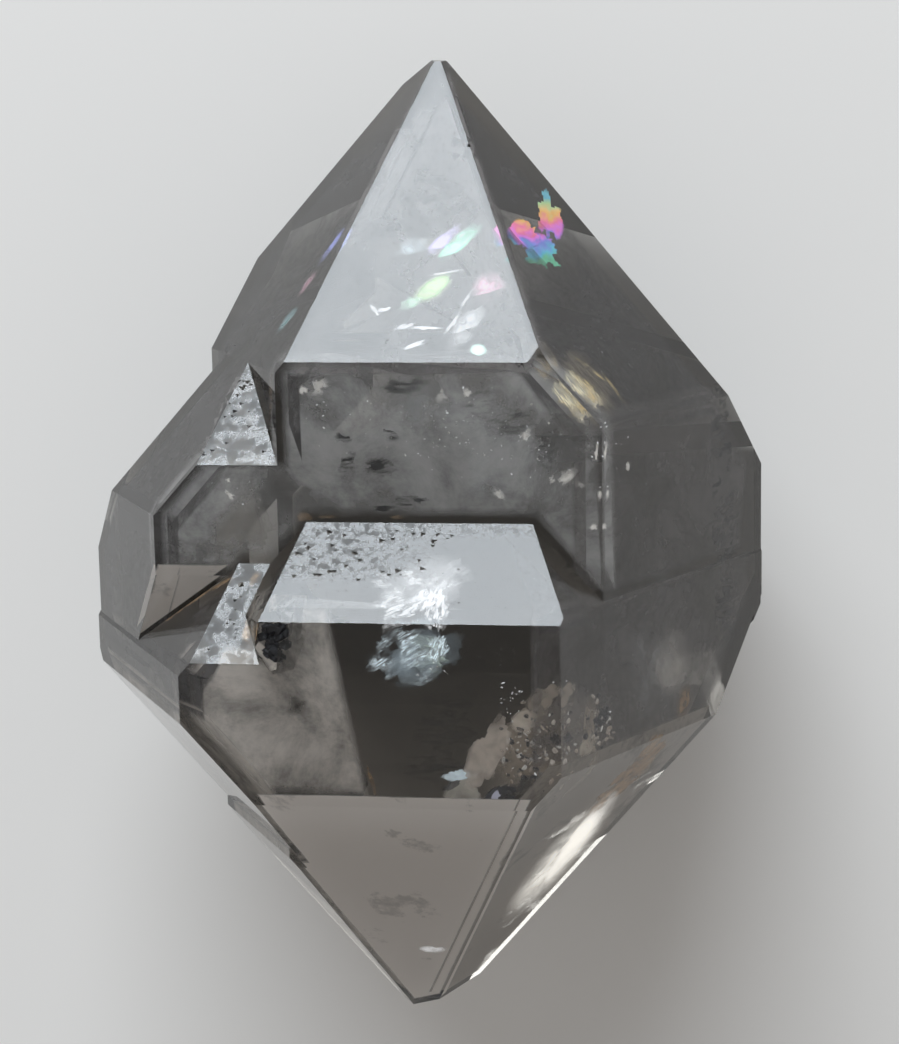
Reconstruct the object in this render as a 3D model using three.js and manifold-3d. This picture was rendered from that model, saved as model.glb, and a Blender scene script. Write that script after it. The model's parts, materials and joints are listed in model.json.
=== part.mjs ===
// Herkimer diamond: a doubly terminated quartz crystal, 22 mm long, grown as several parallel units.
// Frame: millimetres, +Z up. The crystal lies on its rear prism face, with its long axis along Y.
// Each growth unit is convex and bounded by prism faces and by the rhombohedral faces of its two tips.
// All units share one orientation, so their faces are parallel and the joined solid is stepped.

import * as THREE from 'three';
import { ConvexGeometry } from 'three/addons/geometries/ConvexGeometry.js';
import { mergeVertices } from 'three/addons/utils/BufferGeometryUtils.js';
import Module from 'manifold-3d';

const wasm = await Module();
wasm.setup();

// Driving dimensions. Face distances run from the middle of the crystal, along each face's normal.
const TIP_FACE_ANGLE = 37.5; // degrees between a tip face and the long axis
const FRONT_DEPTH = 6.31; // front prism face of the thick front layer
const MAIN_FRONT_DEPTH = 4.86; // front prism face of the main crystal and of the left bulk
const MAIN_BACK_DEPTH = 4.8; // rear prism face of the main crystal
const REST_DEPTH = 5.34; // rear prism face of the back layer, which the stone rests on
const LEFT_EDGE_DEPTH = 7.46; // left prism face of the left bulk
const RIGHT_FACE_DEPTH = 5.92; // right front prism face
const RIGHT_STEP = 0.035; // height of the thin layer low on the right front prism face
const RIGHT_BACK_DEPTH = 6.68; // right rear prism face
const UPPER_TIP_DEPTH = 7.05; // upper tip faces of the main crystal
const LOWER_TIP_DEPTH = 7.58; // lower front tip face
const FRONT_STEP_DEPTH = 4.92; // sloping tip face at the top of the front layer
const SIDE_STEP_DEPTH = 5.68; // sloping tip face at the top of the left bulk
const LOW_STEP_DEPTH = 4.35; // sloping tip face at the top of the lower-left step
const TIP_CHIP_DEPTH = 9.81; // chip on the lower tip
const UPPER_NICK_DEPTH = 11.33; // blunted point of the upper tip
const BURIED = 2.5; // how far the front layers reach into the stone
const PIT_RATIO = 0.3; // depth of an etch pit over its width
const DARK_PIT_DEPTH = 0.7; // ragged hole below the left end of the front step

// Etched areas on the sloping front faces: the face's distance, its left and right edges at the top
// and at the foot, the heights of its top and foot, the count of pits and their widest size.
const ETCHED_AREAS = [
  { depth: FRONT_STEP_DEPTH, top: [-2.35, 0.9], foot: [-2.8, 0.2], heights: [1.6, 0.6], pits: 42, size: 0.2 },
  { depth: FRONT_STEP_DEPTH, top: [-2.3, 2.4], foot: [-3, 3], heights: [1.6, 0.1], pits: 18, size: 0.09 },
  { depth: SIDE_STEP_DEPTH, top: [-4, -3.9], foot: [-4.8, -3.1], heights: [4.8, 3.1], pits: 26, size: 0.17 },
  { depth: LOW_STEP_DEPTH, top: [-4, -3.8], foot: [-4.6, -3.6], heights: [0.45, -0.9], pits: 12, size: 0.13 },
  { depth: UPPER_TIP_DEPTH, top: [-0.5, 0.5], foot: [-2.5, 2.5], heights: [10, 5.4], pits: 20, size: 0.07 },
];

// Faces are made from the turn round the long axis, in degrees from the front, and a distance.
function facePlane(turn, axialSlope, distance) {
  const angle = THREE.MathUtils.degToRad(turn);
  const normal = new THREE.Vector3(Math.sin(angle), axialSlope, Math.cos(angle));
  normal.normalize();
  return new THREE.Plane(normal, -distance);
}

const TIP_SLOPE = Math.tan(THREE.MathUtils.degToRad(TIP_FACE_ANGLE));

function prism(turn, distance) {
  return facePlane(turn, 0, distance);
}

function upper(turn, distance) {
  return facePlane(turn, TIP_SLOPE, distance);
}

function lower(turn, distance) {
  return facePlane(turn, -TIP_SLOPE, distance);
}

// Corner where three faces meet, or null where they are parallel to a common line.
function corner(a, b, c) {
  const cross = new THREE.Vector3().crossVectors(b.normal, c.normal);
  const volume = a.normal.dot(cross);
  if (Math.abs(volume) < 1e-6) {
    return null;
  }
  const point = cross.multiplyScalar(-a.constant);
  const second = new THREE.Vector3().crossVectors(c.normal, a.normal);
  const third = new THREE.Vector3().crossVectors(a.normal, b.normal);
  point.addScaledVector(second, -b.constant);
  point.addScaledVector(third, -c.constant);
  return point.divideScalar(volume);
}

// The convex body inside every face of a list.
function convexBody(faces) {
  const corners = [];
  for (let i = 0; i < faces.length; i += 1) {
    for (let j = i + 1; j < faces.length; j += 1) {
      for (let k = j + 1; k < faces.length; k += 1) {
        const point = corner(faces[i], faces[j], faces[k]);
        if (point && faces.every((face) => face.distanceToPoint(point) < 1e-5)) {
          corners.push(point);
        }
      }
    }
  }
  return new ConvexGeometry(corners);
}

function toSolid(geometry) {
  const bare = geometry.clone();
  bare.deleteAttribute('normal');
  bare.deleteAttribute('uv');
  const merged = mergeVertices(bare, 1e-5);
  const vertProperties = new Float32Array(merged.attributes.position.array);
  const triVerts = new Uint32Array(merged.index.array);
  return new wasm.Manifold(new wasm.Mesh({ numProp: 3, vertProperties, triVerts }));
}

function growthUnit(faces) {
  return toSolid(convexBody(faces));
}

// Behind the right edge the upper tip face leans a little more steeply than the others.
function rightBackTipFace() {
  return facePlane(120, 0.695, 6.67);
}

// The main crystal carries the upper tip and reaches down to the lower tip.
function mainCrystal() {
  return growthUnit([
    upper(0, UPPER_TIP_DEPTH),
    upper(60, UPPER_TIP_DEPTH),
    upper(-60, UPPER_TIP_DEPTH),
    rightBackTipFace(),
    upper(-120, 7.41),
    upper(180, 6.98),
    prism(0, MAIN_FRONT_DEPTH),
    prism(60, RIGHT_FACE_DEPTH),
    prism(120, RIGHT_BACK_DEPTH),
    prism(-60, 5.04),
    prism(-120, 4.03),
    prism(180, MAIN_BACK_DEPTH),
    ...lowerTip(7.59, 7.09),
    facePlane(20, 8, UPPER_NICK_DEPTH),
    facePlane(17.4, 0.53, 7.205),
  ]);
}

// The lower tip is shared by every unit that reaches it, with a chip on its right side.
// The main crystal's left tip faces stand a little proud of the front layers' ones.
function lowerTip(leftDepth = 7.45, leftBackDepth = 6.7) {
  return [
    lower(0, LOWER_TIP_DEPTH),
    lower(60, 6.84),
    lower(-60, leftDepth),
    lower(-120, leftBackDepth),
    facePlane(120, -0.7, 6.06),
    lower(180, 7.03),
    facePlane(90, -2.986, TIP_CHIP_DEPTH),
  ];
}

// A thick layer stands proud of the main crystal's front, below a sloping step.
function frontLayer() {
  return growthUnit([
    upper(0, FRONT_STEP_DEPTH),
    upper(60, 4.73),
    upper(-60, 4.65),
    prism(0, FRONT_DEPTH),
    prism(60, RIGHT_FACE_DEPTH + RIGHT_STEP),
    prism(-60, 5.98),
    prism(180, -BURIED),
    ...lowerTip(),
  ]);
}

// The same layer wraps thinly round the lower right of the prism.
function rightLayer() {
  return growthUnit([
    upper(60, 4.73),
    upper(0, FRONT_STEP_DEPTH),
    prism(0, FRONT_DEPTH),
    prism(60, RIGHT_FACE_DEPTH + RIGHT_STEP),
    prism(120, RIGHT_BACK_DEPTH),
    rightBackTipFace(),
    prism(-90, -1.4),
    prism(180, 1.6),
    ...lowerTip(),
  ]);
}

// The bulk on the left has its own small tip beside the main crystal's flank.
function leftBulk() {
  return growthUnit([
    upper(0, SIDE_STEP_DEPTH),
    upper(-60, UPPER_TIP_DEPTH),
    upper(-120, 5.49),
    upper(180, 6.14),
    prism(0, MAIN_FRONT_DEPTH),
    prism(-60, LEFT_EDGE_DEPTH),
    prism(-120, 6.72),
    prism(180, MAIN_BACK_DEPTH),
    prism(90, -0.94),
    lower(0, 3.53),
    lower(-60, 7.45),
    lower(-120, 6.7),
    lower(180, 6.4),
  ]);
}

// A step low on the left, level with the thick front layer.
function lowerLeftStep() {
  return growthUnit([
    upper(0, LOW_STEP_DEPTH),
    upper(-60, 5.13),
    upper(-120, 4.6),
    upper(180, 4.1),
    prism(0, FRONT_DEPTH),
    prism(-60, LEFT_EDGE_DEPTH + 0.06),
    prism(-120, 6.77),
    prism(180, MAIN_BACK_DEPTH),
    prism(90, -1.4),
    ...lowerTip(),
  ]);
}

// The back layer carries the flat face that the stone lies on.
function backLayer() {
  return growthUnit([
    upper(180, 5.4),
    rightBackTipFace(),
    upper(-120, 5.49),
    prism(0, -0.5),
    prism(60, RIGHT_FACE_DEPTH),
    prism(120, RIGHT_BACK_DEPTH),
    prism(-60, 5.04),
    prism(-120, 6.1),
    prism(180, REST_DEPTH),
    lower(180, 6.14),
    lower(120, 6.06),
    lower(-120, 6.7),
  ]);
}

// Repeatable scatter for the etch pits.
let scatterState = 7;
function scatter() {
  scatterState = (scatterState * 48271) % 2147483647;
  return scatterState / 2147483647;
}

// A triangular pit sunk into the sloping front face at a distance, centred at x and y.
function etchPit(depth, x, y, size) {
  const face = upper(0, depth);
  const z = (depth - face.normal.y * y) / face.normal.z;
  const middle = new THREE.Vector3(x, y, z);
  const across = new THREE.Vector3(1, 0, 0);
  const along = new THREE.Vector3().crossVectors(face.normal, across);
  const turn = scatter() * 0.5;
  const points = [];
  for (let i = 0; i < 3; i += 1) {
    const angle = turn + (i * 2 * Math.PI) / 3;
    const rim = middle.clone();
    rim.addScaledVector(across, Math.cos(angle) * size * 0.6);
    rim.addScaledVector(along, Math.sin(angle) * size * 0.4);
    rim.addScaledVector(face.normal, 0.01);
    points.push(rim);
  }
  points.push(middle.addScaledVector(face.normal, -size * PIT_RATIO));
  return toSolid(new ConvexGeometry(points));
}

function etchedArea(area) {
  const pits = [];
  for (let i = 0; i < area.pits; i += 1) {
    const fall = scatter();
    const left = THREE.MathUtils.lerp(area.top[0], area.foot[0], fall);
    const right = THREE.MathUtils.lerp(area.top[1], area.foot[1], fall);
    const x = THREE.MathUtils.lerp(left, right, scatter());
    const y = THREE.MathUtils.lerp(area.heights[0], area.heights[1], fall);
    pits.push(etchPit(area.depth, x, y, area.size * (0.45 + 0.55 * scatter())));
  }
  return pits;
}

// The ragged hole has its top wall under the edge of the front step.
function darkPit() {
  const outline = new THREE.Shape();
  outline.moveTo(-3.36, -0.17);
  outline.lineTo(-3.38, -0.74);
  outline.lineTo(-3.17, -0.96);
  outline.lineTo(-3.01, -1.22);
  outline.lineTo(-2.88, -1.18);
  outline.lineTo(-2.82, -0.6);
  outline.lineTo(-2.6, -0.48);
  outline.lineTo(-2.57, -0.17);
  outline.closePath();
  const block = new THREE.ExtrudeGeometry(outline, { depth: DARK_PIT_DEPTH + 0.2, bevelEnabled: false });
  block.translate(0, 0, FRONT_DEPTH - DARK_PIT_DEPTH);
  return toSolid(block);
}

// Small chips along the edges of the main crystal's front tip face.
function edgeChip(x, y, z, size) {
  const chip = new THREE.OctahedronGeometry(size);
  chip.rotateZ(x);
  chip.translate(x, y, z);
  return toSolid(chip);
}

const growthUnits = [frontLayer(), rightLayer(), leftBulk(), lowerLeftStep(), backLayer()];
const cuts = [
  darkPit(),
  edgeChip(-1.86, 7.54, 3.12, 0.09),
  edgeChip(-0.62, 10.26, 1.02, 0.05),
  edgeChip(0.86, 9.62, 1.52, 0.07),
  edgeChip(1.86, 7.5, 3.14, 0.05),
  edgeChip(-3.84, 0.42, 5.18, 0.1),
  edgeChip(-2.6, -2.2, 6.34, 0.05),
  ...ETCHED_AREAS.flatMap(etchedArea),
];
let stone = mainCrystal();
for (const unit of growthUnits) {
  stone = stone.add(unit);
}
for (const cut of cuts) {
  stone = stone.subtract(cut);
}

const mesh = stone.getMesh();
const geometry = new THREE.BufferGeometry();
geometry.setAttribute('position', new THREE.BufferAttribute(new Float32Array(mesh.vertProperties), 3));
geometry.setIndex(new THREE.BufferAttribute(new Uint32Array(mesh.triVerts), 1));

const clearQuartz = new THREE.MeshStandardMaterial({ color: 0x8a8783, roughness: 0.06, metalness: 0 });
clearQuartz.flatShading = true;
const crystal = new THREE.Mesh(geometry, clearQuartz);
crystal.name = 'herkimer_crystal';

// The origin is the middle of the footprint, on the resting face.
geometry.computeBoundingBox();
const middle = geometry.boundingBox.getCenter(new THREE.Vector3());
crystal.position.set(-middle.x, -middle.y, REST_DEPTH);

const herkimerDiamond = new THREE.Group();
herkimerDiamond.add(crystal);

export default herkimerDiamond;
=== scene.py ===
"""Looks of a herkimer diamond: clear quartz with growth lines, etched steps and what lies inside it."""

import json
import math
import random

import bpy
from mathutils import Euler, Matrix, Vector, noise

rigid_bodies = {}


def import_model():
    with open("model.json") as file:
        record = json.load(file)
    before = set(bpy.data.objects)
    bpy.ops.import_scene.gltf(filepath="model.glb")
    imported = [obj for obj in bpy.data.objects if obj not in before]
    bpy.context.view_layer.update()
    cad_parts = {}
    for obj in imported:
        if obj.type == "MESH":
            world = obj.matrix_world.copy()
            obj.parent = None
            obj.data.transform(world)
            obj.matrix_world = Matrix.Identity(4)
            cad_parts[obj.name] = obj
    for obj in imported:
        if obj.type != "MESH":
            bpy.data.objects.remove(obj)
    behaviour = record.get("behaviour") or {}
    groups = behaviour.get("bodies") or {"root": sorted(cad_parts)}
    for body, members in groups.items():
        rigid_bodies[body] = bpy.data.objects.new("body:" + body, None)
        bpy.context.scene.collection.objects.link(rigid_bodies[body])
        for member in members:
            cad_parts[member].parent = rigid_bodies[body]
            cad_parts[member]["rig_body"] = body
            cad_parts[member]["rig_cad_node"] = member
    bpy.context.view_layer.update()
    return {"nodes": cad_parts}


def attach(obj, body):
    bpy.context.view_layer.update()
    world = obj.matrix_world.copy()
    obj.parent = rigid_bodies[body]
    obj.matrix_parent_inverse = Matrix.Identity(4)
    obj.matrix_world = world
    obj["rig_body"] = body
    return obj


bl_info = {
    "name": "Herkimer diamond",
    "version": (1, 0, 0),
    "blender": (4, 5, 0),
    "location": "3D View > Sidebar > Herkimer",
    "description": "Finishes a doubly terminated quartz crystal and sets its stage",
    "category": "Object",
}

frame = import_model()
CRYSTAL = "herkimer_crystal"
MM = 0.001
chance = random.Random(11)

# The long axis runs along Y. The sloping front faces of the upper tip lean this much back from it.
TIP_FACE_ANGLE = math.radians(37.5)
FRONT_TIP_NORMAL = (0.0, math.sin(TIP_FACE_ANGLE), math.cos(TIP_FACE_ANGLE))


class Wire:
    """A value in a material's node tree that can be used in sums."""

    def __init__(self, finish, socket):
        self.finish = finish
        self.socket = socket

    def sum(self, operation, *others):
        values = dict(enumerate((self, *others)))
        return self.finish.add("ShaderNodeMath", {"operation": operation}, values)

    def __add__(self, other):
        return self.sum("ADD", other)

    def __radd__(self, other):
        return self.sum("ADD", other)

    def __sub__(self, other):
        return self.sum("SUBTRACT", other)

    def __rsub__(self, other):
        return self.finish.add("ShaderNodeMath", {"operation": "SUBTRACT"}, {0: other, 1: self})

    def __mul__(self, other):
        return self.sum("MULTIPLY", other)

    def __rmul__(self, other):
        return self.sum("MULTIPLY", other)

    def __gt__(self, other):
        return self.sum("GREATER_THAN", other)

    def __lt__(self, other):
        return self.sum("LESS_THAN", other)

    def step(self, low, high):
        """0 below low, 1 above high, and a smooth rise between."""
        settings = {"interpolation_type": "SMOOTHSTEP"}
        return self.finish.add("ShaderNodeMapRange", settings, {0: self, 1: low, 2: high})


class Finish:
    """A material and the nodes that make it."""

    def __init__(self, name):
        self.material = bpy.data.materials.new(name)
        self.material.use_nodes = True
        self.tree = self.material.node_tree
        self.tree.nodes.clear()
        self.end = self.tree.nodes.new("ShaderNodeOutputMaterial")

    def add(self, kind, settings=None, sockets=None, output=0):
        """Adds one node, sets it up, fills or links its sockets and returns one output."""
        node = self.tree.nodes.new(kind)
        for key, value in (settings or {}).items():
            if key == "stops":
                self.set_stops(node.color_ramp, value)
            else:
                setattr(node, key, value)
        for key, value in (sockets or {}).items():
            self.fill(node.inputs[key], value)
        return Wire(self, node.outputs[output])

    def fill(self, socket, value):
        if isinstance(value, Wire):
            self.tree.links.new(value.socket, socket)
        else:
            socket.default_value = value

    def set_stops(self, ramp, stops):
        ramp.elements.remove(ramp.elements[1])
        for index, (place, colour) in enumerate(stops):
            element = ramp.elements[0] if index == 0 else ramp.elements.new(place)
            element.position = place
            element.color = colour

    def close(self, surface=None, volume=None):
        if surface:
            self.fill(self.end.inputs["Surface"], surface)
        if volume:
            self.fill(self.end.inputs["Volume"], volume)
        return self.material


class QuartzLook(bpy.types.PropertyGroup):
    """Clear quartz of the whole stone."""

    tint: bpy.props.FloatVectorProperty(
        name="Body tint",
        description="Colour that thick quartz passes",
        subtype="COLOR",
        default=(0.7, 0.684, 0.663),
        min=0,
        max=1,
    )
    density: bpy.props.FloatProperty(
        name="Absorption",
        description="How fast the quartz darkens with depth, per metre",
        default=390.0,
        min=0,
    )
    polish: bpy.props.FloatProperty(
        name="Polish",
        description="Roughness of the clean faces",
        default=0.02,
        min=0,
        max=1,
        subtype="FACTOR",
    )
    frost: bpy.props.FloatProperty(
        name="Frost",
        description="Extra roughness of the rear faces",
        default=0.25,
        min=0,
        max=1,
        subtype="FACTOR",
    )
    etching: bpy.props.FloatProperty(
        name="Etching",
        description="Extra roughness of the etched parts of the steps",
        default=0.5,
        min=0,
        max=1,
        subtype="FACTOR",
    )


class InsideLook(bpy.types.PropertyGroup):
    """Fractures, veils, specks and stains inside the quartz."""

    # Haze also sets how solid the dark veils of painted shade are.
    haze: bpy.props.FloatProperty(
        name="Haze",
        description="How solid the milky veils are",
        default=0.9,
        min=0,
        max=1,
        subtype="FACTOR",
    )
    # Glow is painted light: emission that lets films, fractures and splinters shine without a lamp.
    glow: bpy.props.FloatProperty(
        name="Glow",
        description="How strongly fractures catch the light",
        default=0.25,
        min=0,
    )
    speck_colour: bpy.props.FloatVectorProperty(
        name="Speck colour",
        description="Colour of the dark specks",
        subtype="COLOR",
        default=(0.012, 0.012, 0.014),
        min=0,
        max=1,
    )
    rust_colour: bpy.props.FloatVectorProperty(
        name="Rust colour",
        description="Colour of the iron stains",
        subtype="COLOR",
        default=(0.2, 0.1, 0.035),
        min=0,
        max=1,
    )


class StageLook(bpy.types.PropertyGroup):
    """Floor, lights and camera."""

    floor_colour: bpy.props.FloatVectorProperty(
        name="Floor",
        description="Floor colour",
        subtype="COLOR",
        default=(0.8, 0.775, 0.75),
        min=0,
        max=1,
    )
    tip_light: bpy.props.FloatProperty(
        name="Tip light",
        description="Brightness of the light beyond the upper tip",
        default=9.8,
        min=0,
    )
    sky: bpy.props.FloatProperty(
        name="Fill",
        description="Brightness of the light from all round",
        default=0.35,
        min=0,
    )


def quartz_look():
    return bpy.context.scene.herkimer_quartz


def inside_look():
    return bpy.context.scene.herkimer_inside


def stage_look():
    return bpy.context.scene.herkimer_stage


def deselect():
    """Leaves nothing selected."""
    for item in bpy.context.view_layer.objects:
        item.select_set(False)


# The small sloping steps lie left of the first of these, and above the third also left of the second.
SMALL_STEP_EDGE = -2.9 * MM
UPPER_STEP_EDGE = -2.4 * MM
UPPER_STEP_FOOT = 2.5 * MM
# The wide step: its foot, its top, where its etched upper left fades out to the right and downwards, and
# where and how strongly the whole of its top edge is etched.
WIDE_STEP_FOOT = -0.6 * MM
WIDE_STEP_TOP = 1.5 * MM
ETCH_FADE_RIGHT = (-0.9 * MM, 1.4 * MM)
ETCH_FADE_DOWN = (0.2 * MM, 0.6 * MM)
TOP_EDGE_FADE = (1.05 * MM, 1.3 * MM)
TOP_EDGE_ETCHING = 0.7


def etched_parts(finish, across, along):
    """1 where the sloping steps are etched: the small ones in blotches, the wide one at its upper left."""
    upper_step = (across < UPPER_STEP_EDGE) * (along > UPPER_STEP_FOOT)
    small_steps = ((across < SMALL_STEP_EDGE) + upper_step).sum("MINIMUM", 1)
    blotches = cloud(finish, 2400, 6.0, 0.3, fineness=0.7).step(0.37, 0.56)
    wide_step = (along > WIDE_STEP_FOOT) * (along < WIDE_STEP_TOP) * (across > SMALL_STEP_EDGE)
    upper_left = (1 - across.step(*ETCH_FADE_RIGHT)) * along.step(*ETCH_FADE_DOWN)
    top_edge = along.step(*TOP_EDGE_FADE) * TOP_EDGE_ETCHING
    pits = cloud(finish, 5600, 5.0, 0.2, (1, 1.4, 1), fineness=0.65).step(0.42, 0.62)
    etched = small_steps * blotches + wide_step * (upper_left + top_edge).sum("MINIMUM", 1) * pits
    return etched.sum("MINIMUM", 1)


QUARTZ_IOR = 1.55
# The frosted rear fades out between these heights.
REAR_FADE = (2.5 * MM, 4.5 * MM)
# The cosine past which a face counts as one that slopes to the tip, and as one that a veil copies.
SAME_SLOPE = 0.999
SAME_FACE = 0.9995


def glass(finish, colour, roughness, normal=None):
    """Clear quartz of one colour and roughness."""
    sockets = {"Base Color": colour, "Roughness": roughness, "IOR": QUARTZ_IOR, "Transmission Weight": 1.0}
    if normal:
        sockets["Normal"] = normal
    return finish.add("ShaderNodeBsdfPrincipled", None, sockets)


def quartz_material():
    """Glassy quartz with growth lines on the sloping faces, etched steps and a frosted rear."""
    values = quartz_look()
    finish = Finish("clear_quartz")
    place = finish.add("ShaderNodeTexCoord", output="Object")
    axes = finish.add("ShaderNodeSeparateXYZ", None, {0: place}).socket.node.outputs
    across, along, height = (Wire(finish, socket) for socket in axes)
    rear = 1 - height.step(*REAR_FADE)
    outward = finish.add("ShaderNodeNewGeometry", output="True Normal")
    sockets = {0: outward, 1: FRONT_TIP_NORMAL}
    sloping = finish.add("ShaderNodeVectorMath", {"operation": "DOT_PRODUCT"}, sockets, "Value") > SAME_SLOPE
    etched = etched_parts(finish, across, along)
    lines = cloud(finish, 900, 3.0, 0.0, (0.06, 2.2, 1)).step(0.5, 0.62)
    grain = cloud(finish, 5200, 2.0)
    relief = lines * 0.5 + grain * etched * 0.15
    bump = finish.add("ShaderNodeBump", None, {"Strength": 0.35, "Distance": 0.02 * MM, "Height": relief})
    stained = finish.add(
        "ShaderNodeMix",
        {"data_type": "RGBA"},
        {"Factor": etched, "A": (1, 1, 1, 1), "B": (0.72, 0.66, 0.56, 1)},
        "Result",
    )
    clean = glass(finish, (1, 1, 1, 1), rear * values.frost + values.polish)
    stepped = glass(finish, stained, etched * values.etching + values.polish, bump)
    shader = finish.add("ShaderNodeMixShader", None, {0: sloping, 1: clean, 2: stepped})
    volume = finish.add(
        "ShaderNodeVolumeAbsorption", None, {"Color": (*values.tint, 1), "Density": values.density}
    )
    return finish.close(shader, volume)


class HERKIMER_OT_quartz(bpy.types.Operator):
    """Gives the stone its clear quartz"""

    bl_idname = "herkimer.quartz"
    bl_label = "Clear quartz"

    def execute(self, context):
        stone = frame["nodes"][CRYSTAL]
        stone.data.materials.clear()
        stone.data.materials.append(quartz_material())
        return {"FINISHED"}


# Directions that a piece inside the stone faces, under each group of faces.
TIP = (0.085, 0.31, 0.946)
RIGHT_TIP = (0.4, 0.37, 0.84)
LEFT_TIP = (-0.28, 0.42, 0.86)
FRONT = (0.09, 0.14, 0.987)
RIGHT = (0.46, 0.14, 0.877)
LOWER_TIP = (0.09, -0.09, 0.992)
# Directions out of the faces themselves, for what lies just under them.
FRONT_TIP_FACE = (0, 0.609, 0.793)
LEFT_TIP_FACE = (-0.687, 0.609, 0.397)
RIGHT_FACE = (0.866, 0, 0.5)
LEFT_FACE = (-0.866, 0, 0.5)
LOWER_RIGHT_FACE = (0.687, -0.609, 0.397)


def pose(at, facing, spin, width, height):
    """Where a piece of unit size goes: its place in millimetres, the way it faces, its turn and its size."""
    out = Vector(facing).normalized()
    across = Vector((0, 1, 0)).cross(out).normalized()
    up = out.cross(across)
    turn = Matrix((across, up, out)).transposed().to_4x4()
    size = Matrix.Diagonal((width * MM, height * MM, min(width, height) * MM, 1))
    spun = turn @ Matrix.Rotation(math.radians(spin), 4, "Z")
    return Matrix.Translation(Vector(at) * MM) @ spun @ size


def set_tint(piece, colour, strength):
    """Stores one colour, and how solid it is, on every point of a piece."""
    layer = piece.data.color_attributes.new("tint", "FLOAT_COLOR", "POINT")
    for point in layer.data:
        point.color = (*colour, strength)


# A ragged outline follows noise that is read round two circles: a small one for its broad waves and a
# large one for its jags.
WAVE_CIRCLE = 1.7
JAG_CIRCLE = 6


def trim_outline(piece, ragged, seed):
    """Cuts a flat grid down to an uneven round outline."""
    bpy.ops.object.mode_set(mode="EDIT")
    bpy.ops.mesh.select_mode(type="VERT")
    bpy.ops.mesh.select_all(action="DESELECT")
    bpy.ops.object.mode_set(mode="OBJECT")
    for vertex in piece.data.vertices:
        flat = vertex.co.xy
        turn = math.atan2(flat.y, flat.x)
        wave_place = (math.cos(turn) * WAVE_CIRCLE, math.sin(turn) * WAVE_CIRCLE, seed * 3.1)
        jag_place = (math.cos(turn) * JAG_CIRCLE, math.sin(turn) * JAG_CIRCLE, seed * 1.3)
        wave = noise.noise(Vector(wave_place))
        jag = noise.noise(Vector(jag_place))
        vertex.select = flat.length > 0.5 * (1 - ragged * (0.5 - wave - 0.5 * jag))
    bpy.ops.object.mode_set(mode="EDIT")
    bpy.ops.mesh.delete(type="VERT")
    bpy.ops.object.mode_set(mode="OBJECT")


def ripple(piece, scale, depth):
    """Ripples a sheet, so that it isn't flat."""
    clouds = bpy.data.textures.new("ripple", "CLOUDS")
    clouds.noise_scale = scale * MM
    modifier = piece.modifiers.new("ripple", "DISPLACE")
    modifier.texture = clouds
    modifier.texture_coords = "LOCAL"
    modifier.strength = depth * MM
    bpy.ops.object.modifier_apply(modifier=modifier.name)


def sheet(row, seed, steps=24, ragged=0.35, wave=0.5, depth=0.1):
    """A thin ragged plate inside the stone, from one row of a table."""
    at, facing, spin, width, height, colour, strength = row
    deselect()
    bpy.ops.mesh.primitive_grid_add(x_subdivisions=steps, y_subdivisions=steps, size=1)
    piece = bpy.context.object
    trim_outline(piece, ragged, seed)
    piece.matrix_world = pose(at, facing, spin, width, height)
    bpy.ops.object.transform_apply(location=True, rotation=True, scale=True)
    ripple(piece, wave, depth)
    set_tint(piece, colour, strength)
    return piece


def join(pieces, name, material, smooth=True):
    """Joins pieces in one object, which rides on the stone."""
    deselect()
    for piece in pieces:
        piece.select_set(True)
    bpy.context.view_layer.objects.active = pieces[0]
    if len(pieces) > 1:
        bpy.ops.object.join()
    whole = bpy.context.object
    whole.name = name
    whole.data.name = name
    whole.data.materials.clear()
    whole.data.materials.append(material)
    if smooth:
        bpy.ops.object.shade_smooth()
    # What lies inside hardly darkens the floor or lights the rest, and without that it renders faster.
    whole.visible_shadow = False
    whole.visible_diffuse = False
    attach(whole, "root")
    return whole


def chip_model():
    """A small splinter with flat faces, copied wherever one is wanted."""
    deselect()
    bpy.ops.mesh.primitive_ico_sphere_add(subdivisions=1, radius=0.5)
    chip = bpy.context.object
    bpy.ops.object.mode_set(mode="EDIT")
    bpy.ops.transform.vertex_random(offset=0.22, seed=3)
    bpy.ops.object.mode_set(mode="OBJECT")
    return chip


# How thick a splinter is beside its width.
FLATNESS = 0.7


def chips(rows):
    """Copies of a splinter, one for each row of place, size, slimness, colour and strength."""
    model = chip_model()
    made = []
    for at, size, slim, colour, strength in rows:
        chip = model.copy()
        chip.data = model.data.copy()
        bpy.context.collection.objects.link(chip)
        turn = [chance.uniform(0, math.tau) for _ in range(3)]
        chip.matrix_world = (
            Matrix.Translation(Vector(at) * MM)
            @ Euler(turn).to_matrix().to_4x4()
            @ Matrix.Diagonal((size * MM, size * slim * MM, size * slim * FLATNESS * MM, 1))
        )
        set_tint(chip, colour, strength)
        made.append(chip)
    bpy.data.objects.remove(model)
    deselect()
    for chip in made:
        chip.select_set(True)
    bpy.context.view_layer.objects.active = made[0]
    bpy.ops.object.transform_apply(location=True, rotation=True, scale=True)
    return made


# ---- materials of what lies inside ----


def inner_material(finish, colour, mask, roughness, glow=0.0):
    """A film inside the stone: solid where the mask is 1 and clear where it is 0."""
    clear = finish.add("ShaderNodeBsdfTransparent")
    film = finish.add(
        "ShaderNodeBsdfPrincipled",
        None,
        {"Base Color": colour, "Roughness": roughness, "Emission Color": colour, "Emission Strength": glow},
    )
    # Its glow is painted light, too faint to light anything else.
    finish.material.cycles.emission_sampling = "NONE"
    return finish.close(finish.add("ShaderNodeMixShader", None, {0: mask, 1: clear, 2: film}))


def sheet_fade(finish, start, end):
    """1 in the middle of a sheet and 0 at its edge."""
    place = finish.add("ShaderNodeTexCoord", output="UV")
    centred = finish.add("ShaderNodeVectorMath", {"operation": "SUBTRACT"}, {0: place, 1: (0.5, 0.5, 0)})
    distance = finish.add("ShaderNodeVectorMath", {"operation": "LENGTH"}, {0: centred}, "Value")
    return 1 - distance.step(start, end)


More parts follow.
